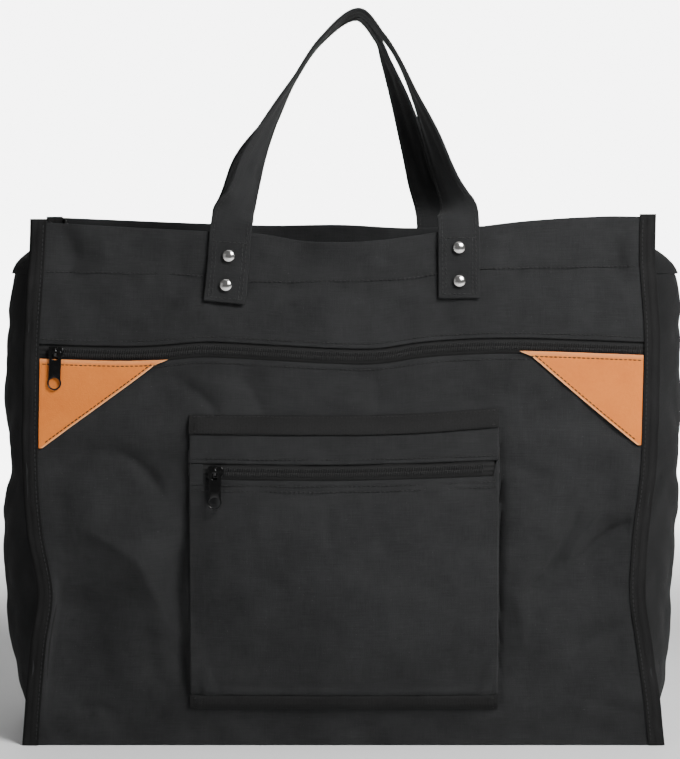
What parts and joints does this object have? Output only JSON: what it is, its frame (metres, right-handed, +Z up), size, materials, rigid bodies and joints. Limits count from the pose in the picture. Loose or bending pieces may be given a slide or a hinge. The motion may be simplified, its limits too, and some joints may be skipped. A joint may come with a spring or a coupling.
{
  "type": "shopping bag",
  "caption": "Boxy cloth tote bag with a zipped front wall, zipped patch pocket, leather corner patches, swelling side gussets with bound seams and riveted cloth strap handles.",
  "frame": {"origin": "on the floor, under the middle of the base panel", "axes": "+Z up, front wall with the zips towards -Y, +X to the right seen from the front"},
  "size_m": [0.5091, 0.2043, 0.5347],
  "materials": {
    "cloth": "plain woven charcoal cloth, matt with a faint sheen",
    "binding_tape": "ribbed black tape",
    "strap_cloth": "flat strap of folded charcoal cloth with sewn edges",
    "zip_tape": "herringbone black tape",
    "zip_coil": "satin black nylon coil",
    "leather": "smooth tan leather with fine grain",
    "black_metal": "glossy black enamel",
    "nickel": "polished nickel"
  },
  "bodies": {
    "bag": {"front_lower_panel": "cloth", "front_upper_panel": "cloth", "back_panel": "cloth", "gusset_left": "cloth", "gusset_right": "cloth", "base_panel": "cloth", "binding_front_left": "binding_tape", "binding_front_right": "binding_tape", "binding_back_left": "binding_tape", "binding_back_right": "binding_tape", "corner_patch_left": "leather", "corner_patch_right": "leather", "pocket_lower_face": "cloth", "pocket_upper_face": "cloth", "pocket_top_band": "binding_tape", "pocket_bottom_band": "binding_tape", "main_zip_tape": "zip_tape", "main_zip_coil": "zip_coil", "main_zip_slider": "black_metal", "pocket_zip_tape": "zip_tape", "pocket_zip_coil": "zip_coil", "pocket_zip_slider": "black_metal", "handle_front": "strap_cloth", "handle_back": "strap_cloth", "rivet_front_left_upper": "nickel", "rivet_front_left_lower": "nickel", "rivet_front_right_upper": "nickel", "rivet_front_right_lower": "nickel", "rivet_back_left_upper": "nickel", "rivet_back_left_lower": "nickel", "rivet_back_right_upper": "nickel", "rivet_back_right_lower": "nickel"},
    "main_pull": {"main_zip_pull": "black_metal"},
    "pocket_pull": {"pocket_zip_pull": "black_metal"}
  },
  "joints": [
    {"name": "main_pull_swing", "type": "hinge", "parent": "bag", "child": "main_pull", "pos_m": [-0.20423, -0.08163, 0.28631], "axis": [-0.9976, 0.0626, 0.0296], "range_deg": [0, 165]},
    {"name": "pocket_pull_swing", "type": "hinge", "parent": "bag", "child": "pocket_pull", "pos_m": [-0.08897, -0.1029, 0.20226], "axis": [-0.9928, 0.1201, 0.0052], "range_deg": [0, 165]}
  ]
}
